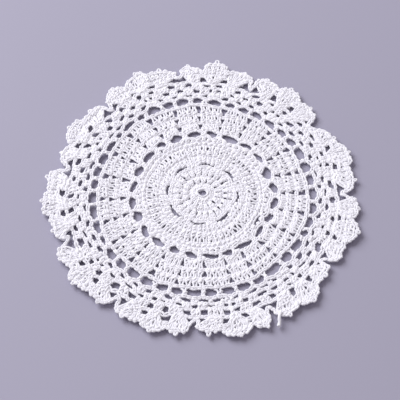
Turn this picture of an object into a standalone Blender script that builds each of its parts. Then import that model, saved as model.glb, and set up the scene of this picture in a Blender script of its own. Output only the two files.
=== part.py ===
"""A round crochet coaster: one flat piece of white cotton lace, about 200 mm across.

Lengths are in metres. The mat lies on the XY plane with its underside at Z = 0.
Angles are in degrees, anticlockwise from +X as seen from above, about the middle of the pattern.
"""

import math

import bmesh
import bpy

MM = 0.001

# Whole mat
THICKNESS = 2.5 * MM
PATTERN_CENTRE = (1.6 * MM, -2.0 * MM)  # puts the middle of the outline's box over the origin
CENTRE_HOLE_RADIUS = 2.1 * MM
CENTRE_HOLE_SIDES = 12

# Ring of chain loops around the solid medallion, one row for each gap
INNER_GAP_RADIUS = 43.5 * MM
INNER_GAP_DEPTH = 5.4 * MM
INNER_GAP_SIDES = 12
INNER_GAPS = (
    # middle of the gap in degrees, width in millimetres
    (0.0, 8.0),
    (14.3, 8.4),
    (30.0, 7.2),
    (44.9, 7.4),
    (60.3, 8.4),
    (75.8, 7.2),
    (90.7, 8.8),
    (106.0, 9.0),
    (120.4, 7.0),
    (135.6, 8.8),
    (152.4, 8.0),
    (167.2, 8.0),
    (182.8, 9.0),
    (196.8, 8.4),
    (211.3, 7.6),
    (226.2, 8.2),
    (240.5, 7.2),
    (254.4, 7.6),
    (271.4, 8.8),
    (285.1, 7.4),
    (299.0, 9.2),
    (317.8, 8.6),
    (331.4, 7.6),
    (345.0, 8.2),
)

# Holes that part the blocks of treble stitches, in three rows above the posts of the inner ring
BLOCK_HOLE_TURN = 2.5  # degrees past the middle of the post, because the stitches lean
BLOCK_HOLE_WIDTH = 2.4 * MM
BLOCK_HOLE_DEPTH = 3.0 * MM
BLOCK_HOLE_SIDES = 6
BLOCK_HOLE_RADII = (49.2 * MM, 55.5 * MM, 62.1 * MM)

# Ring of smaller chain loops around the blocks
OUTER_GAP_COUNT = 43
OUTER_GAP_FIRST = 1.8  # degrees
OUTER_GAP_RADIUS = 68.1 * MM
OUTER_GAP_WIDTH = 6.6 * MM
OUTER_GAP_DEPTH = 4.3 * MM
OUTER_GAP_SIDES = 8

# Holes between the three fans of each lobe, on both sides of its middle
LOBE_HOLE_SIDES = 6
LOBE_HOLES = (
    # share of the lobe from its middle, radius, width and depth in millimetres
    (0.095, 80.8, 2.4, 3.4),
    (0.125, 86.4, 2.8, 3.4),
    (0.370, 80.2, 4.0, 3.2),
    (0.390, 85.6, 3.0, 3.0),
)

# Scalloped edge: eleven lobes, each with a notch before it and three fans ending in a picot
PICOT_HEIGHT = 2.0 * MM
PICOT_HALF_WIDTH = 1.2  # degrees
SCALLOP_ROUNDNESS = 3.0
SCALLOP_STEPS = 4
SCALLOP_CROWDING = 1.5  # over 1 sets a flank's points closer together where it is steep
LOBES = (
    # degrees and radius in millimetres: notch, tip, valley, tip, valley, tip
    ((-5.0, 87.0), (1.0, 97.3), (6.7, 94.2), (13.0, 99.0), (18.3, 92.6), (20.6, 93.8)),
    ((29.4, 84.2), (37.0, 96.2), (42.0, 92.4), (47.8, 99.8), (52.2, 92.8), (58.0, 97.6)),
    ((62.7, 85.2), (68.0, 97.5), (74.0, 93.4), (79.3, 102.0), (84.0, 94.8), (89.5, 99.4)),
    ((95.2, 88.6), (101.2, 99.8), (106.2, 97.2), (111.0, 102.8), (116.0, 97.0), (121.5, 99.4)),
    ((128.0, 86.6), (134.0, 97.4), (139.0, 94.4), (144.4, 99.8), (150.3, 93.4), (156.0, 96.2)),
    ((162.0, 86.2), (167.4, 98.0), (173.0, 95.6), (177.7, 100.6), (184.0, 94.8), (189.6, 96.6)),
    ((196.0, 87.0), (202.2, 97.4), (206.8, 94.0), (213.0, 99.8), (219.2, 94.2), (224.2, 96.8)),
    ((229.4, 85.2), (235.0, 96.8), (241.0, 93.4), (246.2, 96.8), (251.0, 92.8), (255.0, 95.0)),
    ((261.8, 84.6), (267.0, 94.2), (272.2, 92.2), (278.4, 97.2), (283.2, 92.8), (287.6, 96.8)),
    ((292.3, 86.6), (297.4, 97.4), (302.2, 93.2), (307.6, 97.8), (312.2, 91.4), (317.4, 94.2)),
    ((322.2, 84.4), (327.0, 95.2), (333.2, 93.0), (339.4, 99.4), (343.2, 94.2), (349.0, 98.2)),
)

# Loose end of yarn beside one notch: the lobe that it hangs from and its outline
TAIL_LOBE = 9
TAIL_COVERS = 3  # points of the lobe's first flank that the loose end lies over
TAIL_OUTLINE = (
    # degrees, radius in millimetres
    (292.9, 92.0),
    (291.1, 99.2),
    (292.0, 99.8),
    (293.6, 94.6),
)


def polar(angle, radius):
    """Returns the point at that angle and radius about the middle of the pattern."""
    turn = math.radians(angle)
    x = PATTERN_CENTRE[0] + radius * math.cos(turn)
    y = PATTERN_CENTRE[1] + radius * math.sin(turn)
    return (x, y)


def rounded_gap(angle, radius, width, depth, sides):
    """Returns the outline of a round-cornered gap that is bent around the middle of the pattern."""
    outline = []
    for side in range(sides):
        turn = math.tau * (side + 0.5) / sides
        across = math.copysign(math.sqrt(abs(math.cos(turn))), math.cos(turn))
        outward = math.copysign(math.sqrt(abs(math.sin(turn))), math.sin(turn))
        step = math.degrees(across * width / 2 / radius)
        outline.append(polar(angle + step, radius + outward * depth / 2))
    return outline


def centre_hole():
    """Returns the outline of the hole that the first round is worked around."""
    sides = CENTRE_HOLE_SIDES
    return [polar(360 * side / sides, CENTRE_HOLE_RADIUS) for side in range(sides)]


def inner_gaps():
    """Returns the outlines of the gaps in the inner ring of chain loops."""
    return [
        rounded_gap(angle, INNER_GAP_RADIUS, width * MM, INNER_GAP_DEPTH, INNER_GAP_SIDES)
        for angle, width in INNER_GAPS
    ]


def block_holes():
    """Returns the outlines of the holes between blocks, just past the inner ring's posts."""
    outlines = []
    for index, (angle, _) in enumerate(INNER_GAPS):
        following = INNER_GAPS[(index + 1) % len(INNER_GAPS)][0]
        column = angle + ((following - angle) % 360) / 2 + BLOCK_HOLE_TURN
        for radius in BLOCK_HOLE_RADII:
            outlines.append(
                rounded_gap(column, radius, BLOCK_HOLE_WIDTH, BLOCK_HOLE_DEPTH, BLOCK_HOLE_SIDES)
            )
    return outlines


def outer_gaps():
    """Returns the outlines of the gaps in the outer ring of chain loops."""
    outlines = []
    for index in range(OUTER_GAP_COUNT):
        angle = OUTER_GAP_FIRST + 360 * index / OUTER_GAP_COUNT
        outlines.append(
            rounded_gap(angle, OUTER_GAP_RADIUS, OUTER_GAP_WIDTH, OUTER_GAP_DEPTH, OUTER_GAP_SIDES)
        )
    return outlines


def lobe_spans():
    """Yields each lobe's row with the angle and radius of the notch that ends it."""
    for index, row in enumerate(LOBES):
        angle, radius = LOBES[(index + 1) % len(LOBES)][0]
        while angle < row[0][0]:
            angle += 360
        yield index, row, (angle, radius)


def lobe_holes():
    """Returns the outlines of the holes between the fans, mirrored about each lobe's middle."""
    outlines = []
    for _, row, end in lobe_spans():
        start = row[0][0]
        middle = (start + end[0]) / 2
        for share, radius, width, depth in LOBE_HOLES:
            for side in (-1, 1):
                angle = middle + side * share * (end[0] - start)
                outlines.append(
                    rounded_gap(angle, radius * MM, width * MM, depth * MM, LOBE_HOLE_SIDES)
                )
    return outlines


def rise(low, tip):
    """Returns the points of a rounded flank from a notch or valley up to the foot of a picot."""
    low_angle, low_radius = low[0], low[1] * MM
    foot_angle = tip[0] + math.copysign(PICOT_HALF_WIDTH, low_angle - tip[0])
    foot_radius = tip[1] * MM - PICOT_HEIGHT
    points = []
    for step in range(SCALLOP_STEPS + 1):
        share = (step / SCALLOP_STEPS) ** SCALLOP_CROWDING
        height = 1 - (1 - share) ** SCALLOP_ROUNDNESS
        angle = low_angle + share * (foot_angle - low_angle)
        points.append(polar(angle, low_radius + height * (foot_radius - low_radius)))
    return points


def edge():
    """Returns the mat's outer edge, lobe by lobe, with the loose end of yarn."""
    points = []
    for index, row, end in lobe_spans():
        lows = (row[0], row[2], row[4], end)
        tips = (row[1], row[3], row[5])
        for number, tip in enumerate(tips):
            flank = rise(lows[number], tip)
            if index == TAIL_LOBE and number == 0:
                points.append(flank[0])
                points += [polar(angle, radius * MM) for angle, radius in TAIL_OUTLINE]
                flank = flank[TAIL_COVERS:]
            points += flank
            points.append(polar(tip[0], tip[1] * MM))
            points += rise(lows[number + 1], tip)[:0:-1]
    return points


def cotton():
    """Returns the material of bleached, unglazed cotton yarn."""
    material = bpy.data.materials.new("white_cotton_yarn")
    material.use_nodes = True
    shader = material.node_tree.nodes["Principled BSDF"]
    shader.inputs["Base Color"].default_value = (0.90, 0.89, 0.94, 1.0)
    shader.inputs["Roughness"].default_value = 0.9
    shader.inputs["Metallic"].default_value = 0.0
    return material


def crochet_mat():
    """Fills the edge around all the holes with one flat face and thickens it upwards."""
    outlines = [edge(), centre_hole()]
    outlines += inner_gaps() + block_holes() + outer_gaps() + lobe_holes()
    sheet = bmesh.new()
    for outline in outlines:
        corners = [sheet.verts.new((x, y, 0.0)) for x, y in outline]
        for index, corner in enumerate(corners):
            sheet.edges.new((corner, corners[index - 1]))
    bmesh.ops.triangle_fill(sheet, edges=sheet.edges[:], use_beauty=True, normal=(0, 0, 1))
    mesh = bpy.data.meshes.new("crochet_mat")
    sheet.to_mesh(mesh)
    sheet.free()
    mat = bpy.data.objects.new("crochet_mat", mesh)
    bpy.context.scene.collection.objects.link(mat)
    mesh.materials.append(cotton())
    thickness = mat.modifiers.new("yarn_thickness", "SOLIDIFY")
    thickness.thickness = THICKNESS
    thickness.offset = 1.0
    return mat


for leftover in list(bpy.data.objects):
    bpy.data.objects.remove(leftover)
crochet_mat()
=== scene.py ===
import cmath
import math
import random

import bpy
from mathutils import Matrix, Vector, noise


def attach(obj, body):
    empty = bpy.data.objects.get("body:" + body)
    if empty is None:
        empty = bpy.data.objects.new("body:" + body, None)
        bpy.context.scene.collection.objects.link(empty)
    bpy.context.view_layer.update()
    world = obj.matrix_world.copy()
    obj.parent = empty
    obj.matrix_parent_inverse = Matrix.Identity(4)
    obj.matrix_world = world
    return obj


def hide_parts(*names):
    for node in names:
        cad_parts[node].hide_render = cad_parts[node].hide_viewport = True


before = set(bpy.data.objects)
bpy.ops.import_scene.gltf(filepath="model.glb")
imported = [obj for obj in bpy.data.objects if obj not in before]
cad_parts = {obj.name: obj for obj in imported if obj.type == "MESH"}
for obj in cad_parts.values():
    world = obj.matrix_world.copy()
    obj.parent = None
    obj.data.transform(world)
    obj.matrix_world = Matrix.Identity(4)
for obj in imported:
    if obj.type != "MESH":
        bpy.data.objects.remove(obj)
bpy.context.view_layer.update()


# The table top: smooth board painted a pale grey-violet, with one large soft lamp high on the far
# left and a pale room around it. The camera looks down on it from the near side.
MM = 0.001
PATTERN_CENTRE = Vector((1.6, -2.0, 0.0)) * MM  # the middle of the crochet pattern, as in the part
TABLE_SIZE = 6.0
TABLE_PAINT = ("#AAA7B9", "#AEABBD")  # the two shades that the paint drifts between
PAINT_DRIFTS = 3.0  # how many drifts there are in a metre
VIEW_ANGLE = 84.7  # degrees from +X of the camera's level direction
VIEW_ELEVATION = 60.5
VIEW_DISTANCE = 0.7045
VIEW_HEIGHT = 2.3 * MM  # the height that the camera looks at
LENS = 102.3
FRAME_SHIFT = (-0.0054, -0.0167)  # how far off the picture's middle the mat stands
LAMP_TURN = 52.0  # degrees that it stands to the left of the way that the camera faces
LAMP_ELEVATION = 44.0
LAMP_DISTANCE = 2.2
LAMP_SIZE = 1.7
LAMP_POWER = 49.5
LAMP_COLOUR = "#FAFBFF"
ROOM_COLOUR = "#EEE7ED"
ROOM_STRENGTH = 0.43


def linear(hex_colour):
    """Returns an sRGB hex colour as linear red, green, blue and alpha."""
    channels = [int(hex_colour[start:start + 2], 16) / 255 for start in (1, 3, 5)]
    return tuple(c / 12.92 if c <= 0.04045 else ((c + 0.055) / 1.055) ** 2.4 for c in channels) + (1,)


def connect(tree, node, inputs):
    """Sets a node's inputs to values, or links them to sockets."""
    for socket, value in inputs.items():
        if isinstance(value, bpy.types.NodeSocket):
            tree.links.new(value, node.inputs[socket])
        else:
            node.inputs[socket].default_value = value


def add_node(tree, kind, inputs=None, **settings):
    """Adds a node to the tree with its settings and inputs."""
    node = tree.nodes.new(kind)
    for name, value in settings.items():
        setattr(node, name, value)
    connect(tree, node, inputs or {})
    return node


def put(name, data):
    """Returns a new object that is part of the scene."""
    thing = bpy.data.objects.new(name, data)
    bpy.context.scene.collection.objects.link(thing)
    return thing


def heading(angle, elevation):
    """Returns the unit vector at that angle from +X and that far above the table, in degrees."""
    turn, rise = math.radians(angle), math.radians(elevation)
    return Vector((math.cos(turn) * math.cos(rise), math.sin(turn) * math.cos(rise), math.sin(rise)))


def painted_board():
    """Matt paint, rolled on: one even colour with a slow drift in it and no shine."""
    material = bpy.data.materials.new("matt_painted_board")
    material.use_nodes = True
    tree = material.node_tree
    place = add_node(tree, "ShaderNodeTexCoord")
    drift = add_node(
        tree, "ShaderNodeTexNoise", {"Vector": place.outputs["Object"], "Scale": PAINT_DRIFTS}
    )
    dark, light = (linear(paint) for paint in TABLE_PAINT)
    shades = {"Factor": drift.outputs["Fac"], "A": dark, "B": light}
    paint = add_node(tree, "ShaderNodeMix", shades, data_type="RGBA")
    matt = {"Base Color": paint.outputs["Result"], "Roughness": 0.7, "Specular IOR Level": 0.3}
    connect(tree, tree.nodes["Principled BSDF"], matt)
    return material


table_mesh = bpy.data.meshes.new("table_top")
half = TABLE_SIZE / 2
corners = [(-half, -half, 0.0), (half, -half, 0.0), (half, half, 0.0), (-half, half, 0.0)]
table_mesh.from_pydata(corners, [], [(0, 1, 2, 3)])
table_mesh.materials.append(painted_board())
table = put("table_top", table_mesh)

lamp = bpy.data.lights.new("soft_lamp", "AREA")
lamp.shape = "DISK"
lamp.size = LAMP_SIZE
lamp.energy = LAMP_POWER
lamp.color = linear(LAMP_COLOUR)[:3]
lamp_stand = put("soft_lamp", lamp)
lamp_way = heading(VIEW_ANGLE + LAMP_TURN, LAMP_ELEVATION)
lamp_stand.location = PATTERN_CENTRE + lamp_way * LAMP_DISTANCE
lamp_stand.rotation_euler = lamp_way.to_track_quat("Z", "Y").to_euler()

room = bpy.data.worlds.new("pale_room")
room.use_nodes = True
light = {"Color": linear(ROOM_COLOUR), "Strength": ROOM_STRENGTH}
connect(room.node_tree, room.node_tree.nodes["Background"], light)
bpy.context.scene.world = room
bpy.context.scene.view_settings.view_transform = "Standard"

camera = bpy.data.cameras.new("camera")
camera.lens = LENS
camera.shift_x, camera.shift_y = FRAME_SHIFT
camera_stand = put("camera", camera)
back = -heading(VIEW_ANGLE, -VIEW_ELEVATION)
camera_stand.location = PATTERN_CENTRE + Vector((0, 0, VIEW_HEIGHT)) + back * VIEW_DISTANCE
camera_stand.rotation_euler = back.to_track_quat("Z", "Y").to_euler()
bpy.context.scene.camera = camera_stand


# The flower in the middle: sixteen treble stitches worked into a small ring of yarn, with a pair
# of trebles in the top of each. The yarn is one length of bleached cotton, spun in three plies.
YARN_THICKNESS = 1.4 * MM
YARN_SIDES = 6
YARN_STEP = 1.0 * MM
YARN_UNEVENNESS = 0.17
SLUB_SIZE = 1.6 * MM
SLUB_NOISE = (0.3, 0.7)  # the part of the noise's range that is spread over the unevenness
PLIES = 3
PLY_PITCH = 4.2 * MM
FIBRE_SIZE = 0.45 * MM
FIBRE_SHARE = 0.55  # how strong the fibres are beside the plies
RELIEF_DEPTH = 0.12 * MM
# the yarn's white on the crowns of the plies, and a darker, bluer white that is painted shade in the
# hollows of the relief
YARN_CROWN = "#FBFAFF"
YARN_PAINTED_HOLLOW_SHADE = "#F6F6FF"


def mirrored(leg):
    """Returns the right half of a strand for its left half."""
    return tuple((-side, share, height) for side, share, height in reversed(leg))


# A stitch is a few strands. Each row of a strand is how far right of the stitch's line it lies as
# a share of the width, its share of the way up, and its height over the table. Lengths without MM
# are in millimetres and angles in degrees, from the middle of the pattern.
LEG = (
    (-0.23, 1.03, 1.20),
    (-0.31, 0.64, 1.60),
    (-0.19, 0.30, 1.60),
    (-0.22, -0.06, 1.45),
)
LEGS = LEG + mirrored(LEG)
MIDDLE_WRAP = ((-0.42, 0.20, 0.90), (-0.15, 0.28, 1.95), (0.15, 0.36, 1.98), (0.42, 0.44, 0.90))
HIGH_WRAP = ((-0.42, 0.39, 0.90), (-0.14, 0.47, 1.98), (0.16, 0.55, 1.95), (0.42, 0.62, 0.95))
TOP_WRAP = ((-0.42, 0.56, 0.90), (-0.15, 0.64, 1.95), (0.15, 0.72, 1.95), (0.42, 0.80, 0.90))
FIRST_TREBLE = (LEGS, HIGH_WRAP)
PETAL_TREBLE = (LEGS, MIDDLE_WRAP, TOP_WRAP)
HALF_LINK = (
    (0.00, -0.25, 1.00),
    (-0.20, 0.10, 1.50),
    (-0.34, 0.55, 1.80),
    (-0.20, 0.98, 1.60),
)
CHAIN_LINK = (HALF_LINK + ((0.00, 1.15, 1.20),) + mirrored(HALF_LINK),)
RIDGE_WIDTH = 2.1
SUNK = -0.6  # how much lower a ridge lies where the next round's stitches stand close on it
CENTRE_RING = ((2.8, 0.95), (2.95, 2.1))  # radius and height of the yarn
CENTRE_POINTS = 12
CENTRE_SLIP = 0.8 + 0.4j  # how far the ring lies off the middle
SPOKES = 16
SPOKE_MISS = 2
FIRST_ROUND = (3.3, 6.8)  # radii of a stitch's foot and top, here and below
FIRST_WIDTH = 2.3
FIRST_RIDGE = 7.0
SECOND_ROUND = (8.1, 12.0)
SECOND_APART = (1.0, 5.4)  # degrees from a pair's middle to its feet and to its tops
SECOND_WIDTH = 1.7
SECOND_RIDGE = 12.2
STITCH_WIDTHS = (0.92, 1.08)  # as shares of the width meant
STITCH_LIFT = 0.15  # the most that a hand misses by, here and below
STRAND_SLIP = 0.11  # along the stitch, as a share of its length
STRAND_ASIDE = 0.12
YARN_ASIDE = 0.12
YARN_LIFT = 0.16
CHAIN_JOLT = 0.25
HAND_WANDER = (
    # size of a wave, and how far it moves the yarn sideways and upwards
    (18.0, 0.60, 0.25),
    (7.0, 0.60, 0.20),
    (3.0, 0.30, 0.15),
)
LEAST_HEIGHT = 0.85  # the lowest that the middle of a thread can lie
KNOTS_UNDER = 0.3  # how far knots on the underside keep the rest off the table
LOOSE_START = (71.0, 77.0)  # radii between which the work gets looser
LOOSE_WAVE = 10.0
LOOSE_WANDER = 1.9
LOOSE_RISE = 0.2  # its wander upwards as a share of its wander sideways
LOOSE_OFFSET = Vector((3.7, 1.3, 8.1))  # keeps this wave apart from the others
EDGE_NEARER = 0.5  # how much nearer to the camera the edge lies as a whole
EDGE_NEARER_START = (86.0, 92.0)
CURL_START = (78.0, 100.0)  # radii at which the curl starts and is full
CURL_SHARPNESS = 1.3  # over 1 keeps the curl near the edge
CURL_WAVE = (22.0, 0.6)  # size of its waves, and how strong they are
CURL = (0.4, 1.9)  # how far the edge curls up at least and at most
CURL_SIDE = 312.0  # degrees at which it curls up most
CURL_NEARER = 0.57  # the outline was read as if flat, so yarn that curls up stands this much nearer
LEFT_LIFT = 0.8  # how far the left side of the outer rounds stands off the table
LEFT_LIFT_SIDE = 185.0
LEFT_LIFT_START = (54.0, 67.0)
HAND_SEED = 16
WANDER_SEED = 9

hand = random.Random(HAND_SEED)
noise.seed_set(WANDER_SEED)  # without it noise_vector starts from the clock and no two runs agree


def at(angle, radius):
    """Returns a point of the mat's plane as a complex number."""
    return cmath.rect(radius, math.radians(angle))


def missed(most):
    """Returns how far the hand misses this time, either way."""
    return hand.uniform(-most, most)


def laid(shape, start, end, width, lift=0.0):
    """Returns a stitch's strands, laid from one point to another and a little uneven."""
    up = end - start
    right = -1j * up / abs(up)
    width = width * hand.uniform(*STITCH_WIDTHS)
    raised = lift + missed(STITCH_LIFT)
    strands = []
    for strand in shape:
        slip = missed(STRAND_SLIP) if strands else 0.0
        aside = missed(STRAND_ASIDE)
        path = []
        for side, share, height in strand:
            across = side * width + aside + missed(YARN_ASIDE)
            knobbly = height + raised + missed(YARN_LIFT)
            path.append((start + up * (share + slip) + right * across, knobbly))
        if shape is CHAIN_LINK:
            path[-1] = path[0]
        strands.append(path)
    return strands


def turns(count, first=0.0):
    """Returns that many angles, evenly spread over the whole turn."""
    return [first + 360 * step / count for step in range(count)]


def chain(course, jolt=CHAIN_JOLT, lift=0.0):
    """Returns a chain with one link between each point of a course and the next."""
    shaken = [point + complex(missed(jolt), missed(jolt)) for point in course]
    if course[0] == course[-1]:
        shaken[-1] = shaken[0]
    strands = []
    for start, end in zip(shaken, shaken[1:]):
        strands += laid(CHAIN_LINK, start, end, RIDGE_WIDTH, lift)
    return strands


def ridge(links, radius_at, first=0.0, lift=0.0):
    """Returns a whole round of chain links, as the tops of a round's stitches make them."""
    angles = turns(links, first)
    return chain([at(angle, radius_at(angle)) for angle in angles + angles[:1]], lift=lift)


def cotton_yarn():
    """Bleached cotton, unmercerised and spun: a matt white thread with short loose fibres.

    The three plies show as slanting hollows, drawn at their real pitch as bumps and as painted
    shade: a darker, bluer white in the hollows. The fibres show as a fine grain of bumps with the
    same painted shade in their low spots, drawn three times too coarse, because the real one would
    not show.
    """
    material = bpy.data.materials.new("bleached_spun_cotton")
    material.use_nodes = True
    tree = material.node_tree
    around = add_node(tree, "ShaderNodeAttribute", attribute_name="around_yarn")
    along = add_node(tree, "ShaderNodeAttribute", attribute_name="along_yarn")
    sides = add_node(tree, "ShaderNodeSeparateXYZ", {0: around.outputs["Vector"]})
    turn = add_node(
        tree, "ShaderNodeMath", {0: sides.outputs[1], 1: sides.outputs[0]}, operation="ARCTAN2"
    )
    ply_turn = add_node(
        tree, "ShaderNodeMath", {0: turn.outputs[0], 1: PLIES / 2}, operation="MULTIPLY"
    )
    spun = {0: along.outputs["Fac"], 1: math.pi * PLIES / PLY_PITCH, 2: ply_turn.outputs[0]}
    twist = add_node(tree, "ShaderNodeMath", spun, operation="MULTIPLY_ADD")
    wave = add_node(tree, "ShaderNodeMath", {0: twist.outputs[0]}, operation="SINE")
    ply = add_node(tree, "ShaderNodeMath", {0: wave.outputs[0]}, operation="ABSOLUTE")
    place = add_node(tree, "ShaderNodeTexCoord")
    spot = place.outputs["Object"]
    grain = {"Vector": spot, "Scale": 1 / FIBRE_SIZE, "Detail": 3.0, "Roughness": 0.6}
    fibres = add_node(tree, "ShaderNodeTexNoise", grain)
    heights = {0: fibres.outputs["Fac"], 1: FIBRE_SHARE, 2: ply.outputs[0]}
    relief = add_node(tree, "ShaderNodeMath", heights, operation="MULTIPLY_ADD")
    # painted shade: where the relief is low, in the ply hollows and the fibre grain's low spots, the
    # white turns darker and bluer
    hollow_shade_whites = {"Factor": relief.outputs[0], "A": linear(YARN_PAINTED_HOLLOW_SHADE), "B": linear(YARN_CROWN)}
    colour = add_node(tree, "ShaderNodeMix", hollow_shade_whites, data_type="RGBA")
    depths = {"Height": relief.outputs[0], "Strength": 0.5, "Distance": RELIEF_DEPTH}
    bump = add_node(tree, "ShaderNodeBump", depths)
    cotton = {
        "Base Color": colour.outputs["Result"],
        "Normal": bump.outputs["Normal"],
        "Roughness": 0.95,
        "Specular IOR Level": 0.2,
        "Sheen Weight": 0.1,
        "Sheen Roughness": 0.6,
    }
    connect(tree, tree.nodes["Principled BSDF"], cotton)
    return material


def yarn_tree():
    """Builds the node tree that lays a round, slightly uneven thread of yarn along each path."""
    tree = bpy.data.node_groups.new("yarn_along_paths", "GeometryNodeTree")
    kinds = {
        "Paths": "Geometry",
        "Thickness": "Float",
        "Sides": "Int",
        "Step": "Float",
        "Unevenness": "Float",
        "Seed": "Float",
        "Material": "Material",
    }
    for name, kind in kinds.items():
        tree.interface.new_socket(name, in_out="INPUT", socket_type="NodeSocket" + kind)
    tree.interface.new_socket("Yarn", in_out="OUTPUT", socket_type="NodeSocketGeometry")
    given = add_node(tree, "NodeGroupInput").outputs
    lines = add_node(tree, "GeometryNodeMeshToCurve", {"Mesh": given["Paths"]})
    bent = add_node(
        tree, "GeometryNodeCurveSplineType", {"Curve": lines.outputs[0]}, spline_type="CATMULL_ROM"
    )
    steps = {"Curve": bent.outputs[0], "Length": given["Step"]}
    stepped = add_node(tree, "GeometryNodeResampleCurve", steps, mode="LENGTH")
    length = add_node(tree, "GeometryNodeSplineParameter")
    measured = add_node(
        tree,
        "GeometryNodeStoreNamedAttribute",
        {"Geometry": stepped.outputs[0], "Name": "along_yarn", "Value": length.outputs["Length"]},
        data_type="FLOAT",
    )
    radius = add_node(tree, "ShaderNodeMath", {0: given["Thickness"], 1: 0.5}, operation="MULTIPLY")
    sides = {"Resolution": given["Sides"], "Radius": radius.outputs[0]}
    circle = add_node(tree, "GeometryNodeCurvePrimitiveCircle", sides, mode="RADIUS")
    spot = add_node(tree, "GeometryNodeInputPosition")
    outward = add_node(tree, "ShaderNodeVectorMath", {0: spot.outputs[0]}, operation="NORMALIZE")
    section = add_node(
        tree,
        "GeometryNodeStoreNamedAttribute",
        {"Geometry": circle.outputs[0], "Name": "around_yarn", "Value": outward.outputs[0]},
        data_type="FLOAT_VECTOR",
    )
    grain = {"Vector": spot.outputs[0], "W": given["Seed"], "Scale": 1 / SLUB_SIZE, "Detail": 1.0}
    slubs = add_node(tree, "ShaderNodeTexNoise", grain, noise_dimensions="4D")
    thin = add_node(tree, "ShaderNodeMath", {0: 1.0, 1: given["Unevenness"]}, operation="SUBTRACT")
    thick = add_node(tree, "ShaderNodeMath", {0: 1.0, 1: given["Unevenness"]}, operation="ADD")
    scale = add_node(
        tree,
        "ShaderNodeMapRange",
        {
            "Value": slubs.outputs["Fac"],
            "From Min": SLUB_NOISE[0],
            "From Max": SLUB_NOISE[1],
            "To Min": thin.outputs[0],
            "To Max": thick.outputs[0],
        },
    )
    drawn = {
        "Curve": measured.outputs[0],
        "Profile Curve": section.outputs[0],
        "Scale": scale.outputs[0],
        "Fill Caps": True,
    }
    yarn = add_node(tree, "GeometryNodeCurveToMesh", drawn)
    smooth = add_node(tree, "GeometryNodeSetShadeSmooth", {"Geometry": yarn.outputs[0]})
    real = add_node(tree, "GeometryNodeRealizeInstances", {"Geometry": smooth.outputs[0]})
    dyed = add_node(
        tree, "GeometryNodeSetMaterial", {"Geometry": real.outputs[0], "Material": given["Material"]}
    )
    add_node(tree, "NodeGroupOutput", {0: dyed.outputs[0]})
    return tree


def begun(radius, start):
    """Returns 0 up to a start's first radius, 1 from its second, and a share between them."""
    return min(1.0, max(0.0, (radius - start[0]) / (start[1] - start[0])))


def wandering(place, height):
    """Returns where the hand that worked it really put a point of the yarn."""
    radius, turn = cmath.polar(place)
    spot = Vector((place.real, place.imag, 0.0))
    moved = spot + Vector((0.0, 0.0, height + KNOTS_UNDER))
    for size, sideways, upwards in HAND_WANDER:
        drift = noise.noise_vector(spot / size)
        moved += Vector((drift.x * sideways, drift.y * sideways, drift.z * upwards))
    drift = noise.noise_vector(spot / LOOSE_WAVE + LOOSE_OFFSET)
    looseness = begun(radius, LOOSE_START)
    moved += Vector((drift.x, drift.y, LOOSE_RISE * drift.z)) * LOOSE_WANDER * looseness
    moved.y -= EDGE_NEARER * begun(radius, EDGE_NEARER_START)
    moved.z = max(moved.z, LEAST_HEIGHT)
    outward = max(0.0, (radius - CURL_START[0]) / (CURL_START[1] - CURL_START[0]))
    nearness = 0.5 + 0.5 * math.cos(turn - math.radians(CURL_SIDE))
    size, strength = CURL_WAVE
    curl = CURL[0] + (CURL[1] - CURL[0]) * nearness
    curl *= outward ** CURL_SHARPNESS * (1.0 + strength * noise.noise(spot / size))
    side = max(0.0, math.cos(turn - math.radians(LEFT_LIFT_SIDE)))
    curl += LEFT_LIFT * side * begun(radius, LEFT_LIFT_START)
    return moved + Vector((0.0, -CURL_NEARER * curl, curl))


YARN = yarn_tree()
COTTON = cotton_yarn()
crochet = []


def worked(name, strands, thickness=YARN_THICKNESS):
    """Makes one piece of the mat from the paths of its strands and fixes it to the mat's body."""
    points, steps = [], []
    for strand in strands:
        closed = strand[0] == strand[-1]
        first = len(points)
        for place, height in strand[:-1] if closed else strand:
            points.append(PATTERN_CENTRE + wandering(place, height) * MM)
        steps += [(step, step + 1) for step in range(first, len(points) - 1)]
        if closed:
            steps.append((len(points) - 1, first))
    paths = bpy.data.meshes.new(name)
    paths.from_pydata(points, steps, [])
    piece = put(name, paths)
    spinning = piece.modifiers.new("yarn", "NODES")
    spinning.node_group = YARN
    values = {
        "Thickness": thickness,
        "Sides": YARN_SIDES,
        "Step": YARN_STEP,
        "Unevenness": YARN_UNEVENNESS,
        "Seed": float(len(crochet)),
        "Material": COTTON,
    }
    for item in YARN.interface.items_tree:
        if item.name in values:
            spinning[item.identifier] = values[item.name]
    depsgraph = bpy.context.evaluated_depsgraph_get()
    mesh = bpy.data.meshes.new_from_object(
        piece.evaluated_get(depsgraph), preserve_all_data_layers=True, depsgraph=depsgraph
    )
    piece.modifiers.clear()
    piece.data = mesh
    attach(piece, "root")
    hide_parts("crochet_mat")
    crochet.append(piece)


centre = []
for radius, height in CENTRE_RING:
    around = turns(CENTRE_POINTS) + [0.0]
    centre.append([(at(angle, radius) + CENTRE_SLIP, height) for angle in around])
for spoke in turns(SPOKES):
    foot, top = (at(spoke + missed(SPOKE_MISS), radius) for radius in FIRST_ROUND)
    centre += laid(FIRST_TREBLE, foot, top, FIRST_WIDTH)
centre += ridge(SPOKES, lambda angle: FIRST_RIDGE, 360 / SPOKES / 2, SUNK)
for spoke in turns(SPOKES, 360 / SPOKES / 2):
    for side in (-1, 1):
        foot, top = (
            at(spoke + side * apart, radius) for apart, radius in zip(SECOND_APART, SECOND_ROUND)
        )
        centre += laid(PETAL_TREBLE, foot, top, SECOND_WIDTH)
centre += ridge(2 * SPOKES, lambda angle: SECOND_RIDGE, 0.0, SUNK)
worked("flower_centre", centre)


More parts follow.
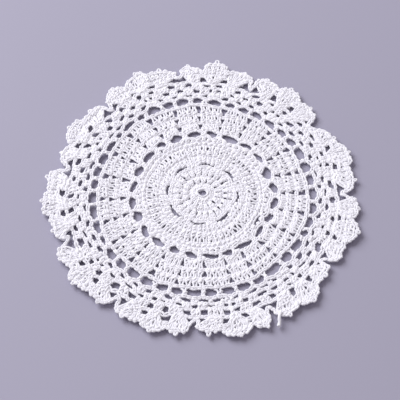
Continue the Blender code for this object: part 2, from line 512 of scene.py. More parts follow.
# The eight petals around the flower: trebles worked over chain loops, so that every petal has a
# rounded rim of chain. The round behind holds them by their ends, and leaves a slit at each tip.
PETALS = 8
PETAL_FIRST = 32.8
PETAL_ROUND = 13.3
PETAL_TIP = 19.9
PETAL_SHOULDER = 18.0
PETAL_HALF = 21.5  # from a petal's middle to the end of its rim
PETAL_ROUNDNESS = 2.5
PETAL_STITCHES = 6
PETAL_FOOT_HALF = 22.0  # how far the feet are spread, each way
PETAL_PAIRING = 0.8  # how far feet are gathered in pairs
PETAL_OVERHANG = 1.5  # how far the tops lean out past the rim's ends
PETAL_WIDTH = 2.0
PETAL_LINKS = 8
RIM_COVER = 0.6  # how far the tops stay inside the rim
PETAL_SLITS = (1.4, 0.8, 1.4, 1.2, 1.3, 0.8, 1.3, 1.4)  # how wide each slit is
SLIT_HALF = 18.5  # from a slit's middle to its end


def petal_rim(offset):
    """Returns the radius of a petal's rim at that many degrees from its middle."""
    return PETAL_TIP - (PETAL_TIP - PETAL_SHOULDER) * (abs(offset) / PETAL_HALF) ** PETAL_ROUNDNESS


petals = []
for petal in turns(PETALS, PETAL_FIRST):
    for step in range(PETAL_STITCHES):
        offset = (step + 0.5) / PETAL_STITCHES * 2 - 1
        pair = (step // 2 + 0.5) / (PETAL_STITCHES / 2) * 2 - 1
        gathered = PETAL_PAIRING * pair + (1 - PETAL_PAIRING) * offset
        foot = at(petal + gathered * PETAL_FOOT_HALF, PETAL_ROUND)
        top = offset * (PETAL_HALF + PETAL_OVERHANG)
        head = at(petal + top, petal_rim(top) - RIM_COVER)
        petals += laid(PETAL_TREBLE, foot, head, PETAL_WIDTH)
    rim = [PETAL_HALF * (2 * step / PETAL_LINKS - 1) for step in range(PETAL_LINKS + 1)]
    petals += chain([at(petal + offset, petal_rim(offset)) for offset in rim])
worked("petals", petals)


# The close rounds around the petals: a round of trebles, a round of eight shells of seven
# trebles, and two rounds of short stitches that make a firm rim with a slit between shells.
LOW_WRAP = ((-0.38, -0.06, 0.90), (-0.15, 0.01, 1.95), (0.15, 0.08, 1.98), (0.38, 0.14, 0.90))
TREBLE = (LEGS, LOW_WRAP, HIGH_WRAP)
CLOSE_TREBLE = (LEGS, LOW_WRAP, MIDDLE_WRAP, TOP_WRAP)
PINCHED_LEG = (
    (-0.30, 1.03, 1.20),
    (-0.19, 0.80, 1.50),
    (-0.19, 0.58, 1.55),
    (-0.34, 0.32, 1.60),
    (-0.30, -0.06, 1.45),
)
PINCHED_TREBLE = (PINCHED_LEG + mirrored(PINCHED_LEG), LOW_WRAP, MIDDLE_WRAP)
SHORT_STITCH = (
    (
        (-0.23, 1.00, 1.25),
        (-0.25, 0.52, 1.65),
        (-0.20, -0.08, 1.60),
        (0.20, -0.08, 1.60),
        (0.25, 0.52, 1.65),
        (0.24, 1.00, 1.25),
    ),
    ((-0.42, 0.22, 0.95), (-0.12, 0.40, 1.98), (0.14, 0.56, 1.98), (0.42, 0.74, 0.95)),
)
TALL = 3.6  # the length from which a stitch is a treble and not a short one
RIDGE_HALF = 1.6  # from the middle of a chain to the outside of its yarn
BEHIND_STITCHES = 54
BEHIND_TOP = 27.0
BEHIND_MISS = 0.5
BEHIND_WIDTH = 3.0
BEHIND_RIDGE = 27.5
BEHIND_FIRSTS = (1.0, 4.0)  # degrees at which the stitches and their ridge begin
SHELLS = 8
SHELL_STITCHES = 7
SHELL_FOOT = 28.2
SHELL_TOP = 33.9
SHELL_RISE = 0.8  # how much higher a shell is at its middle
SHELL_FOOT_STEP = 6.3
SHELL_TOP_STEP = 6.5
SHELL_WIDTH = 3.6
SHELL_RIDGE = 0.5  # from the shells' tops out to their ridge
SHELL_OPEN = (-1.0, 2.0)  # between these stitches a shell is worked a little apart
PETAL_OVERLAP = 1.4  # from the petals' rim out to the round behind them
SLIT_LEAST = 0.8  # added to each slit
RIM_STITCHES = 72
RIM_MIDDLE = 37.6
RIM_SLITS = (0.9, 0.6, 0.7, 0.9, 0.8, 0.7, 2.0, 1.0)  # width of the slit after each shell
RIM_SLIT_HALF = 2.5  # and as much again for each millimetre of a slit's width
RIM_FIRSTS = (1.2, 3.0)  # degrees at which the rim's two rounds begin, and so on below
RIM_WIDTHS = (3.1, 3.3)
RIM_FEET = (1.2, 0.9)  # from the shells' tops, and from the rim's middle
RIM_TOPS = (0.5, 0.4)  # how far a stitch ends inside the chain on top of it
RIM_RIDGES = (2.0, 0.5)
RIM_LEAST = 1.4
GAP_FULLNESS = 2.2  # more makes a gap squarer
INNER_GAPS = (
    # degrees and radius of both ends of the gap, and its inner and outer radius
    (-5.5, 45.6, 4.6, 43.6, 42.0, 46.2),
    (8.6, 43.6, 20.6, 43.6, 40.0, 45.2),
    (25.0, 44.6, 36.2, 43.5, 42.7, 45.0),
    (39.6, 45.0, 50.6, 43.3, 42.8, 45.5),
    (53.6, 43.5, 67.2, 44.2, 40.5, 45.0),
    (71.8, 43.2, 80.9, 45.0, 41.4, 45.5),
    (85.0, 43.8, 97.1, 43.4, 41.2, 45.6),
    (100.8, 43.2, 112.6, 43.2, 39.8, 45.6),
    (116.7, 43.2, 125.5, 44.2, 41.5, 45.9),
    (129.3, 42.4, 143.2, 42.7, 41.5, 44.6),
    (147.0, 41.8, 158.8, 43.8, 40.3, 44.4),
    (163.3, 42.4, 173.0, 44.8, 41.6, 45.0),
    (177.4, 43.4, 190.4, 44.9, 41.7, 45.3),
    (191.4, 41.8, 202.5, 43.6, 39.3, 45.3),
    (206.4, 41.9, 217.4, 45.3, 41.7, 45.8),
    (220.0, 43.2, 232.4, 43.2, 41.8, 45.2),
    (236.4, 43.0, 246.0, 43.4, 40.2, 44.6),
    (250.6, 42.2, 261.2, 44.8, 41.6, 45.2),
    (264.8, 42.8, 278.2, 44.5, 42.5, 45.0),
    (281.1, 42.6, 290.0, 45.1, 42.2, 45.2),
    (290.9, 42.4, 307.4, 44.9, 42.5, 45.3),
    (311.5, 44.6, 324.0, 42.9, 42.3, 45.3),
    (327.6, 43.8, 336.4, 45.1, 41.5, 46.3),
    (339.8, 43.8, 351.1, 45.0, 43.0, 46.8),
)


def stitch(start, end, width):
    """Returns the strands of a treble where it is tall, and of a short stitch where not."""
    shape = TREBLE if abs(end - start) > TALL else SHORT_STITCH
    return laid(shape, start, end, width)


def from_middle(angle, first, period):
    """Returns the number of the nearest even step, and the degrees past its middle."""
    number = round((angle - first) / period)
    return number % round(360 / period), angle - first - number * period


def behind_foot(angle):
    """Returns the radius at which the round behind the petals starts."""
    petal, offset = from_middle(angle, PETAL_FIRST, 360 / PETALS)
    slit = (PETAL_SLITS[petal] + SLIT_LEAST) * max(0.0, 1 - (offset / SLIT_HALF) ** 2)
    return petal_rim(offset) + PETAL_OVERLAP + slit


def shell_top(angle):
    """Returns the radius of the tops of the shells."""
    offset = from_middle(angle, PETAL_FIRST, 360 / SHELLS)[1]
    return SHELL_TOP + SHELL_RISE * (1 - (offset / (180 / SHELLS)) ** 2)


def rim_slit(angle):
    """Returns how wide the rim's slit is at an angle."""
    shell, offset = from_middle(angle, PETAL_FIRST + 180 / SHELLS, 360 / SHELLS)
    half = RIM_SLIT_HALF + RIM_SLIT_HALF * RIM_SLITS[shell]
    return RIM_SLITS[shell] * max(0.0, 1 - (offset / half) ** 2)


def following(items, index):
    """Returns the item after the one at an index, and the first one after the last."""
    return items[(index + 1) % len(items)]


def onward(angle, start):
    """Returns an angle, and a full turn more where it lies before the start."""
    return angle + 360 if angle < start else angle


def gap_edges(angle):
    """Returns the radii of the inner and outer edge of the open ring's gap at an angle."""
    angle = (angle - INNER_GAPS[0][0]) % 360 + INNER_GAPS[0][0]
    for index, (begin, begin_radius, end, end_radius, inner, outer) in enumerate(INNER_GAPS):
        if angle <= end:
            share = (angle - begin) / (end - begin)
            middle = (begin_radius + end_radius) / 2
            tilted = begin_radius + (end_radius - begin_radius) * share
            swell = 1 - abs(2 * share - 1) ** GAP_FULLNESS
            return tilted - (middle - inner) * swell, tilted + (outer - middle) * swell
        after, after_radius = following(INNER_GAPS, index)[:2]
        after = onward(after, end)
        if angle < after:
            share = (angle - end) / (after - end)
            radius = end_radius + (after_radius - end_radius) * share
            return radius, radius


medallion = []
for angle in turns(BEHIND_STITCHES, BEHIND_FIRSTS[0]):
    top = at(angle + missed(BEHIND_MISS), BEHIND_TOP)
    medallion += laid(CLOSE_TREBLE, at(angle, behind_foot(angle)), top, BEHIND_WIDTH)
medallion += ridge(BEHIND_STITCHES, lambda angle: BEHIND_RIDGE, BEHIND_FIRSTS[1], SUNK)
for shell in turns(SHELLS, PETAL_FIRST):
    for step in range(SHELL_STITCHES):
        offset = step - SHELL_STITCHES / 2 + 1
        foot = at(shell + offset * SHELL_FOOT_STEP, SHELL_FOOT)
        top = shell + offset * SHELL_TOP_STEP
        shape = PINCHED_TREBLE if SHELL_OPEN[0] < offset < SHELL_OPEN[1] else CLOSE_TREBLE
        medallion += laid(shape, foot, at(top, shell_top(top)), SHELL_WIDTH)
medallion += ridge(RIM_STITCHES, lambda angle: shell_top(angle) + SHELL_RIDGE, 0.0, SUNK)
for angle in turns(RIM_STITCHES, RIM_FIRSTS[0]):
    low = at(angle, shell_top(angle) + RIM_FEET[0])
    top = RIM_MIDDLE - rim_slit(angle) / 2 - RIM_TOPS[0]
    medallion += stitch(low, at(angle, top), RIM_WIDTHS[0])
medallion += ridge(
    RIM_STITCHES, lambda angle: RIM_MIDDLE - rim_slit(angle) / 2, RIM_RIDGES[0], SUNK
)
for angle in turns(RIM_STITCHES, RIM_FIRSTS[1]):
    low = RIM_MIDDLE + RIM_FEET[1] + rim_slit(angle) / 2
    top = max(low + RIM_LEAST, gap_edges(angle)[0] - RIDGE_HALF - RIM_TOPS[1])
    medallion += stitch(at(angle, low), at(angle, top), RIM_WIDTHS[1])
medallion += ridge(RIM_STITCHES, lambda angle: gap_edges(angle)[0] - RIDGE_HALF, RIM_RIDGES[1])
worked("close_rounds", medallion)


# The open ring: posts of treble stitches that stand apart on the rim, with a chain loop from
# post to post. Each loop bows outwards, so the gap under it is shaped like an eye.
POST = (
    (
        (-0.60, 1.04, 1.10),
        (-0.22, 0.78, 1.50),
        (-0.18, 0.50, 1.60),
        (-0.20, 0.20, 1.50),
        (-0.56, -0.06, 1.20),
    ),
    (
        (0.60, 1.04, 1.15),
        (0.23, 0.78, 1.55),
        (0.18, 0.50, 1.60),
        (0.20, 0.20, 1.50),
        (0.55, -0.06, 1.20),
    ),
    HIGH_WRAP,
)
POST_REACH = (-1.6, 1.6)  # from the middle of the gaps' ends to a post's foot and top
POST_OVERHANG = 0.3  # how much wider than its room a post's yarn swells
POST_PAIR = 2.6  # the width from which two posts stand side by side
POST_LEAST = 1.5
POST_FILL = 0.85  # share of its width that a post takes up
GAP_LINKS = 5  # chain links over each gap
GAP_LINKS_FIRST = 1.0  # degrees

open_ring = ridge(
    GAP_LINKS * len(INNER_GAPS), lambda angle: gap_edges(angle)[1] + RIDGE_HALF, GAP_LINKS_FIRST
)
for index, gap in enumerate(INNER_GAPS):
    begin = gap[2]
    end = onward(following(INNER_GAPS, index)[0], begin)
    middle = (begin + end) / 2
    radius = gap_edges(middle)[0]
    wide = math.radians(end - begin) * radius + POST_OVERHANG
    count = 1 if wide < POST_PAIR else 2
    for step in range(count):
        stand = middle + math.degrees(wide / radius) * ((step + 0.5) / count - 0.5)
        foot, top = (at(stand, radius + reach) for reach in POST_REACH)
        open_ring += laid(POST, foot, top, max(POST_LEAST, POST_FILL * wide / count))
worked("open_ring", open_ring)


# The band of blocks: three rows of four trebles over each gap, with one chain link between
# blocks, so that a column of three small holes stands between each two blocks.
BLOCK_FIRST_COLUMN = 2.5  # degrees past the middle of the post, because the stitches lean
BLOCK_STITCHES = 4
BLOCK_FOOT = 47.0
BLOCK_TOPS = (51.9, 58.2)
BLOCK_HOLES = (2.15, 1.6, 2.3)  # width of the hole beside the block in each row
BLOCK_HOLE_FOOT = (0.2, 1.4)  # range of a hole's width at its foot, as shares of that width
BLOCK_HOLE_TOP = (0.6, 1.6)
BLOCK_LEAN = (-0.2, 0.8)  # degrees that the two ends of a row lean over
BLOCK_WIDEST = 3.7
BLOCK_CLOSENESS = 1.04  # how much of its place a stitch fills
BLOCK_RIDGE_LIFT = 0.35  # from a row's tops to the chain over them
BLOCK_FOOT_LIFT = 0.8  # and from there to the feet of the next row
BLOCK_FOOT_MISS = 0.4
BLOCK_ON_CHAIN = 0.4  # how far the lowest feet stand off the open ring's chain
BLOCK_LINKS = 6
BLOCK_LINKS_FIRST = 0.1  # as a share of the block
SLACK_JOLT = 0.4  # the hand misses by more in chains that hang free
OUTER_GAPS = (
    # degrees of both ends of the gap, and its inner and outer radius
    (0.2, 5.8, 65.8, 70.2),
    (8.1, 13.8, 65.2, 70.3),
    (16.6, 23.2, 65.8, 70.0),
    (26.0, 30.9, 65.7, 70.0),
    (33.6, 38.5, 65.8, 69.0),
    (41.2, 47.2, 66.0, 69.0),
    (50.6, 56.2, 66.0, 69.3),
    (58.4, 63.8, 66.0, 68.8),
    (66.8, 71.3, 66.5, 69.0),
    (74.4, 80.4, 66.3, 69.8),
    (85.0, 89.0, 67.8, 70.6),
    (92.0, 98.2, 67.0, 71.0),
    (100.7, 105.5, 66.5, 71.2),
    (108.0, 114.7, 67.0, 71.5),
    (117.5, 121.0, 67.5, 70.7),
    (123.9, 131.5, 67.2, 69.7),
    (134.0, 137.6, 66.2, 69.0),
    (140.8, 147.4, 65.7, 69.0),
    (149.6, 155.9, 65.5, 69.5),
    (158.0, 164.0, 65.8, 69.7),
    (166.4, 171.5, 65.5, 69.0),
    (174.0, 180.4, 65.8, 70.3),
    (182.0, 189.7, 66.3, 70.0),
    (191.2, 198.3, 66.5, 69.7),
    (200.6, 205.6, 67.0, 69.2),
    (209.0, 215.0, 66.8, 70.7),
    (217.1, 222.7, 66.8, 70.7),
    (224.7, 231.0, 66.5, 70.5),
    (233.0, 239.0, 66.5, 70.7),
    (241.3, 247.4, 66.5, 70.0),
    (249.5, 254.7, 66.0, 70.2),
    (257.3, 263.7, 66.0, 69.7),
    (266.5, 271.5, 65.5, 69.2),
    (275.4, 280.6, 66.0, 70.0),
    (282.8, 289.5, 66.7, 70.0),
    (291.6, 297.3, 66.7, 69.7),
    (299.9, 308.4, 65.8, 69.7),
    (310.8, 316.7, 65.2, 70.0),
    (319.4, 326.2, 65.7, 69.5),
    (329.0, 332.2, 66.3, 69.3),
    (334.4, 340.6, 66.3, 70.4),
    (342.8, 348.8, 67.4, 70.5),
    (351.2, 357.4, 66.9, 70.4),
)


def between(marks, angle):
    """Returns the radius at an angle, evenly between the marks of angle and radius beside it."""
    first, radius = marks[0]
    angle = (angle - first) % 360 + first
    for (before, low), (after, high) in zip(marks, marks[1:] + [(first + 360, radius)]):
        if before <= angle <= after:
            return low + (high - low) * (angle - before) / max(after - before, 1e-6)
    return radius


def ring_radius(angle, column):
    """Returns the second open ring's inner (2) or outer (3) radius, even from gap to gap."""
    return between([((gap[0] + gap[1]) / 2, gap[column]) for gap in OUTER_GAPS], angle)


def block_top(row, angle):
    """Returns the radius of a row's top; the last row reaches up to the second open ring."""
    if row < len(BLOCK_TOPS):
        return BLOCK_TOPS[row]
    return ring_radius(angle, 2) - RIDGE_HALF - BLOCK_RIDGE_LIFT


blocks = []
inner_angles = [(gap[0] + gap[2]) / 2 for gap in INNER_GAPS]
columns = []
for index, angle in enumerate(inner_angles):
    half = ((following(inner_angles, index) - angle) % 360) / 2
    columns.append(angle + half + BLOCK_FIRST_COLUMN)
for index, column in enumerate(columns):
    after = onward(following(columns, index), column)
    for row, hole in enumerate(BLOCK_HOLES):
        inner = BLOCK_TOPS[row - 1] + BLOCK_FOOT_LIFT if row else BLOCK_FOOT
        low = math.degrees(hole * hand.uniform(*BLOCK_HOLE_FOOT) / 2 / inner)
        high = math.degrees(hole * hand.uniform(*BLOCK_HOLE_TOP) / 2 / inner)
        begin, end = column + low, after - low
        lean_first, lean_last = (hand.uniform(*BLOCK_LEAN) for _ in range(2))
        for step in range(BLOCK_STITCHES):
            share = (step + 0.5) / BLOCK_STITCHES
            stand = begin + (end - begin) * share
            if row:
                foot = inner + missed(BLOCK_FOOT_MISS)
            else:
                foot = gap_edges(stand)[1] + RIDGE_HALF + BLOCK_ON_CHAIN
            top = column + high + (after - column - 2 * high) * share
            top += lean_first + (lean_last - lean_first) * share
            head = block_top(row, top)
            width = min(BLOCK_WIDEST, math.radians(end - begin) * head / BLOCK_STITCHES)
            width *= BLOCK_CLOSENESS
            blocks += laid(PINCHED_TREBLE, at(stand, foot), at(top, head), width)
    for row in range(len(BLOCK_HOLES)):
        course = []
        for step in range(BLOCK_LINKS):
            share = step / (BLOCK_LINKS - 1) + BLOCK_LINKS_FIRST
            angle = column + (after - column) * share
            course.append(at(angle, block_top(row, angle) + BLOCK_RIDGE_LIFT))
        blocks += chain(course, jolt=SLACK_JOLT, lift=SUNK if row < len(BLOCK_TOPS) else 0.0)
worked("treble_blocks", blocks)


# The second open ring: forty-three single trebles that stand apart, joined by chain loops. It is
# lighter than the first, and its chain carries the net of the lobes.
OUTER_LEAN = (-0.3, 1.5)  # degrees that a post leans over
OUTER_REACH = (-0.7, 0.5)  # from the gaps' inner and outer edge to a post's foot and top
OUTER_LEAST = 2.0
OUTER_SLACK = 0.1
OUTER_BOW = (
    # share of the gap, and how far the chain over it drops there
    (-0.08, 1.1),
    (0.32, 0.15),
    (0.70, 0.15),
    (1.08, 1.1),
)

outer_ring, course = [], []
for index, gap in enumerate(OUTER_GAPS):
    begin = gap[1]
    end = onward(following(OUTER_GAPS, index)[0], begin)
    stand = (begin + end) / 2
    low = ring_radius(stand, 2) + OUTER_REACH[0]
    high = ring_radius(stand, 3) + OUTER_REACH[1]
    wide = math.radians(end - begin) * (low + high) / 2
    lean = hand.uniform(*OUTER_LEAN) / 2
    width = max(OUTER_LEAST, wide - OUTER_SLACK)
    outer_ring += laid(POST, at(stand - lean, low), at(stand + lean, high), width)
    for share, bow in OUTER_BOW:
        angle = gap[0] + (gap[1] - gap[0]) * share
        course.append(at(angle, ring_radius(angle, 3) + RIDGE_HALF - bow))
outer_ring += chain(course + course[:1], jolt=SLACK_JOLT)
worked("outer_ring", outer_ring)


# The net of the lobes: three rounds of trebles and short stitches in groups, parted by chain
# links, which swell into eleven lobes. The links leave small holes beside each group.
PICOT_HEIGHT = 2.0
PICOT_HALF_WIDTH = 1.2  # degrees
SCALLOP_ROUNDNESS = 4.2
SCALLOP_STEPS = 4
SCALLOP_CROWDING = 1.5  # over 1 sets a flank's points closer together where it is steep
LOBES = (
    # degrees and radius of notch, tip, valley, tip, valley, tip
    ((-5.0, 87.0), (1.0, 97.3), (6.7, 94.2), (13.0, 99.0), (18.3, 92.6), (20.6, 93.8)),
    ((29.4, 84.2), (37.0, 96.2), (42.0, 92.4), (47.8, 99.8), (52.2, 92.8), (58.0, 97.6)),
    ((62.7, 85.2), (68.0, 97.5), (74.0, 93.4), (79.3, 102.0), (84.0, 94.8), (89.5, 99.4)),
    ((95.2, 88.6), (101.2, 99.8), (106.2, 97.2), (111.0, 102.8), (116.0, 97.0), (121.5, 99.4)),
    ((128.0, 86.6), (134.0, 97.4), (139.0, 94.4), (144.4, 99.8), (150.3, 93.4), (156.0, 96.2)),
    ((162.0, 86.2), (167.4, 98.0), (173.0, 95.6), (177.7, 100.6), (184.0, 94.8), (189.6, 96.6)),
    ((196.0, 87.0), (202.2, 97.4), (206.8, 94.0), (213.0, 99.8), (219.2, 94.2), (224.2, 96.8)),
    ((229.4, 85.2), (235.0, 96.8), (241.0, 93.4), (246.2, 96.8), (251.0, 92.8), (255.0, 95.0)),
    ((261.8, 84.6), (267.0, 94.2), (272.2, 92.2), (278.4, 97.2), (283.2, 92.8), (287.6, 96.8)),
    ((292.3, 86.6), (297.4, 97.4), (302.2, 93.2), (307.6, 97.8), (312.2, 91.4), (317.4, 94.2)),
    ((322.2, 84.4), (327.0, 95.2), (333.2, 93.0), (339.4, 99.4), (343.2, 94.2), (349.0, 98.2)),
)
NET_LEAN = 0.03  # how far the pattern leans for each millimetre of radius
UPRIGHT_RADIUS = 72.0
NET_STITCH = 2.8
NET_WIDEST = 3.5
NET_EDGE = 1.2  # how far the stitches end inside the mat's edge
NET_LEAST = 1.0
NET_CHAIN = 0.55  # from the stitches' tops out to the chain over them
NET_CHAIN_EDGE = 0.7
NET_JOLT = 0.3
HEAD_MISS = 0.15  # degrees
HOLE_MISS = 0.012  # as a share of the lobe
HOLE_LEAN = (-1.0, 2.2)  # how far a hole leans over from its foot to its top
HOLE_ARCH = (0.4, 0.9, 1.0)  # how far the chain bows out over a hole in each round
HOLE_ARCH_SHARES = (0.3, 1.3)
HOLE_WEDGE = (-0.6, 0.5)  # how much wider a hole is at its foot than at its middle, as a share
NET_ROWS = (
    # foot and top radius, and for each hole its share of the lobe from the middle and its width
    (72.6, 74.1, ((-0.40, 5.0), (-0.20, 3.6), (0.115, 3.8), (0.37, 4.8))),
    (74.9, 77.8, ((-0.29, 4.3), (-0.07, 2.8), (0.045, 2.4), (0.26, 4.0), (0.49, 4.4))),
    (79.0, 82.4, ((-0.38, 4.8), (-0.10, 3.2), (0.10, 3.7), (0.375, 4.8))),
)
NET_STRETCH = (1.0, 1.0, 0.9)  # share of the second open ring's unevenness that each round keeps
RING_RADIUS = 69.9


def flank(low, tip):
    """Returns the edge from a notch or valley up to the foot of a picot, as angles and radii."""
    foot_angle = tip[0] + math.copysign(PICOT_HALF_WIDTH, low[0] - tip[0])
    foot_radius = tip[1] - PICOT_HEIGHT
    points = []
    for step in range(SCALLOP_STEPS + 1):
        share = (step / SCALLOP_STEPS) ** SCALLOP_CROWDING
        height = 1 - (1 - share) ** SCALLOP_ROUNDNESS
        angle = low[0] + share * (foot_angle - low[0])
        points.append((angle, low[1] + height * (foot_radius - low[1])))
    return points


lobes = []
edge = []  # without the picots
for index, row in enumerate(LOBES):
    notch_angle, notch_radius = following(LOBES, index)[0]
    lows = (row[0], row[2], row[4], (onward(notch_angle, row[0][0]), notch_radius))
    tips = (row[1], row[3], row[5])
    lobes.append((lows, tips))
    for number, tip in enumerate(tips):
        edge += flank(lows[number], tip)
        edge += flank(lows[number + 1], tip)[:0:-1]


def in_lobe(lows, share, radius):
    """Returns the angle at that share of the lobe from its middle, with the pattern's lean."""
    begin, end = lows[0][0], lows[3][0]
    return (begin + end) / 2 + share * (end - begin) + NET_LEAN * (radius - UPRIGHT_RADIUS)


def net_lift(angle, row):
    """Returns how far a round of the net stands out because the ring below it does."""
    return (ring_radius(angle, 3) - RING_RADIUS) * NET_STRETCH[row]


def net_round(row):
    """Returns a round of the net: stitches between holes, and chain that arches over the holes."""
    foot, top, holes = NET_ROWS[row]
    middle = (foot + top) / 2
    openings = []
    for lows, _ in lobes:
        for share, width in holes:
            place = in_lobe(lows, share + missed(HOLE_MISS), middle)
            wedge = hand.uniform(*HOLE_WEDGE)
            low, high = (math.degrees(width * (1 + part) / 2 / middle) for part in (wedge, -wedge))
            openings.append((place, low, high, math.degrees(hand.uniform(*HOLE_LEAN) / middle)))
    strands, course = [], []
    for index, (angle, low, high, lean) in enumerate(openings):
        after, after_low, after_high, after_lean = following(openings, index)
        after = onward(after, angle)
        begin, end = angle + low - lean / 2, after - after_low - after_lean / 2
        top_begin, top_end = angle + high + lean / 2, after - after_high + after_lean / 2
        count = max(1, round(math.radians(end - begin) * middle / NET_STITCH))
        width = min(NET_WIDEST, math.radians(end - begin) / count * middle)
        for step in range(count):
            share = (step + 0.5) / count
            stand = begin + (end - begin) * share
            head = top_begin + (top_end - top_begin) * share + missed(HEAD_MISS)
            lift = net_lift(stand, row)
            reach = min(top + lift, between(edge, head) - NET_EDGE)
            if reach - foot - lift > NET_LEAST:
                strands += stitch(at(stand, foot + lift), at(head, reach), width)
        heads = [(angle + lean / 2, HOLE_ARCH[row] * hand.uniform(*HOLE_ARCH_SHARES))]
        for step in range(count + 1):
            heads.append((top_begin + (top_end - top_begin) * step / count, 0.0))
        for head, arch in heads:
            radius = top + NET_CHAIN + net_lift(head, row) + arch
            course.append(at(head, min(radius, between(edge, head) - NET_CHAIN_EDGE)))
    return strands + chain(course + course[:1], jolt=NET_JOLT, lift=SUNK / 2)


net = []
for row in range(len(NET_ROWS)):
    net += net_round(row)
worked("lobe_net", net)


# The scalloped edge: three fans of trebles on each lobe, gathered at the foot, with a hole
# between fans. A last row of chain links runs around them and down into every notch, with a
# picot, a tiny loop of chain, at the tip of each fan.
FAN_FOOT = 83.9
FAN_TOP = 91.2
FAN_HOLES = ((-0.395, 4.8), (-0.12, 4.2), (0.13, 4.6), (0.40, 4.6))  # as in the net's rows
FAN_HOLE_SIZES = (1.2, 1.7)
HALF_FAN = ((CLOSE_TREBLE, 2.3), (PINCHED_TREBLE, 2.5), (CLOSE_TREBLE, 2.9))  # with their widths
FAN_FREE = 0.02  # share of a fan left free beside another fan
FAN_FREE_AT_NOTCH = 0.09
CROWN_FROM = 1.4  # where the edge is further off, a second stitch stands on the treble
CROWN_FOOT = 0.5
CROWN_SPREAD = 0.5
CROWN_WIDTH = 3.0
FAN_LINKS = 15
FAN_CHAIN_HALF = 0.45  # as a share of the lobe
FAN_CHAIN = 0.3  # from the trebles' tops out to the chain over them
FAN_CHAIN_EDGE = 2.4
FAN_BRIDGE = (88.6, 1.3)  # radius of the link over each hole, and half its length
EDGE_INSET = 1.7
VALLEY_INSET = 1.8  # how much further in the chain lies between two fans
EDGE_REACH = 2.0  # how far the stitches end inside the edge
EDGE_LINK = 2.6
EDGE_BUMP = 0.8  # a link stands out by up to this much
BARE_LINKS = 2  # links without a loop, down in the notch
BARE_VALLEY = 2.1  # how far around a valley between fans there is no loop
NOTCH_DEPTH = 1.2  # how far below the notch the chain is worked into the net
NOTCH_LEAST = 84.2
LOOP_SIZES = (0.5, 1.6)
EDGE_LOOP = ((0.0, 0.0, 1.3), (0.36, 0.18, 1.6), (0.52, 0.5, 1.7), (0.36, 0.82, 1.6), (0.0, 1.0, 1.3))
PICOT = (
    (0.00, -0.30, 1.10),
    (-0.27, 0.10, 1.60),
    (-0.28, 0.62, 1.75),
    (0.00, 1.00, 1.45),
    (0.28, 0.62, 1.60),
    (0.27, 0.10, 1.50),
    (0.00, -0.30, 1.10),
)
PICOT_WIDTH = 3.3
PICOT_INSET = 0.6


def drawn_in(outline, inset):
    """Returns an outline moved inwards by that distance."""
    moved = []
    for index, point in enumerate(outline):
        way = outline[min(index + 1, len(outline) - 1)] - outline[max(index - 1, 0)]
        moved.append(point + 1j * way / abs(way) * inset)
    return moved


def spaced(course, count):
    """Returns count + 1 points at even distances along a course."""
    reach = [0.0]
    for start, end in zip(course, course[1:]):
        reach.append(reach[-1] + abs(end - start))
    points = []
    for step in range(count + 1):
        goal = reach[-1] * step / count
        leg = max(1, next(n for n, far in enumerate(reach) if far >= goal - 1e-9))
        share = (goal - reach[leg - 1]) / max(reach[leg] - reach[leg - 1], 1e-9)
        points.append(course[leg - 1] + (course[leg] - course[leg - 1]) * share)
    return points


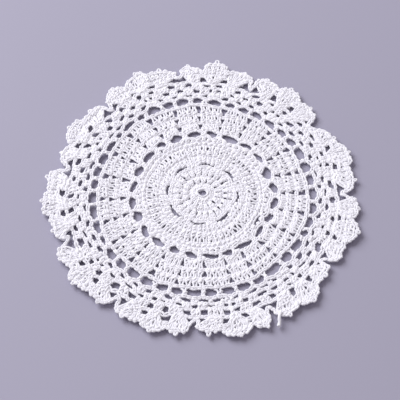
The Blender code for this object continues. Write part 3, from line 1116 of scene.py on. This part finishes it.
fans, bound_edge = [], []
for lows, tips in lobes:
    for number in range(len(tips)):
        first, last = FAN_HOLES[number:number + 2]
        before, after = (
            math.degrees(hole[1] * hand.uniform(*FAN_HOLE_SIZES) / 2 / FAN_FOOT)
            for hole in (first, last)
        )
        begin = in_lobe(lows, first[0], FAN_FOOT) + before
        end = in_lobe(lows, last[0], FAN_FOOT) - after
        left, right = lows[number][0], lows[number + 1][0]
        first_free = FAN_FREE if number else FAN_FREE_AT_NOTCH
        last_free = FAN_FREE if number < len(tips) - 1 else FAN_FREE_AT_NOTCH
        for step, (shape, width) in enumerate(HALF_FAN + HALF_FAN[::-1]):
            share = (step + 0.5) / (2 * len(HALF_FAN))
            head = left + (right - left) * (first_free + (1 - first_free - last_free) * share)
            limit = between(edge, head) - EDGE_REACH
            reach = limit if limit < FAN_TOP + CROWN_FROM else FAN_TOP
            stand = begin + (end - begin) * share
            foot = at(stand, FAN_FOOT + net_lift(stand, 2))
            fans += laid(shape, foot, at(head, reach), width)
            if limit > reach:
                outward = head + (left + (right - left) * share - head) * CROWN_SPREAD
                fans += stitch(at(head, reach + CROWN_FOOT), at(outward, limit), CROWN_WIDTH)
        if number:
            middle = (in_lobe(lows, first[0], FAN_BRIDGE[0]) + left) / 2
            fans += chain([at(middle + side * FAN_BRIDGE[1], FAN_BRIDGE[0]) for side in (-1, 1)])
    course = []
    for step in range(FAN_LINKS + 1):
        angle = in_lobe(lows, FAN_CHAIN_HALF * (2 * step / FAN_LINKS - 1), FAN_TOP)
        course.append(at(angle, min(FAN_TOP + FAN_CHAIN, between(edge, angle) - FAN_CHAIN_EDGE)))
    fans += chain(course, lift=2 * SUNK)
    course, valleys = [], []
    for number, tip in enumerate(tips):
        outline = flank(lows[number], tip) + flank(lows[number + 1], tip)[:0:-1]
        inner = drawn_in([at(angle, radius) for angle, radius in outline], EDGE_INSET)
        if number:
            inner[0] *= 1 - VALLEY_INSET / abs(inner[0])
            valleys.append(inner[0])
        course += inner
        foot = at(tip[0], tip[1] - PICOT_HEIGHT - PICOT_INSET)
        bound_edge += laid((PICOT,), foot, at(tip[0], tip[1] - PICOT_INSET), PICOT_WIDTH)
    ends = [at(low[0], max(low[1] - NOTCH_DEPTH, NOTCH_LEAST)) for low in (lows[0], lows[3])]
    course = ends[:1] + course + ends[1:]
    length = sum(abs(end - start) for start, end in zip(course, course[1:]))
    links = spaced(course, round(length / EDGE_LINK))
    bumpy = [link * (1 + hand.uniform(0, EDGE_BUMP) / abs(link)) for link in links]
    bound_edge += chain(bumpy, jolt=NET_JOLT)
    for start, end in list(zip(bumpy, bumpy[1:]))[BARE_LINKS:-BARE_LINKS]:
        if min(abs((start + end) / 2 - valley) for valley in valleys) > BARE_VALLEY:
            bound_edge += laid((EDGE_LOOP,), start, end, RIDGE_WIDTH * hand.uniform(*LOOP_SIZES))
worked("edge_fans", fans)
worked("edge_chain_and_picots", bound_edge)


# The loose end: the last few millimetres of the same yarn, left hanging where the work was
# fastened off beside a notch, drawn as one thread a little thicker than the rest.
LOOSE_END = (
    # degrees, radius and height
    (294.6, 92.3, 2.2),
    (293.6, 93.9, 2.8),
    (293.1, 95.3, 2.2),
    (292.8, 96.6, 1.5),
    (292.2, 97.8, 1.1),
    (291.9, 98.9, 1.3),
)
LOOSE_THICKNESS = 2.1 * MM
loose_end = [(at(angle, radius), height) for angle, radius, height in LOOSE_END]
worked("loose_end", [loose_end], LOOSE_THICKNESS)
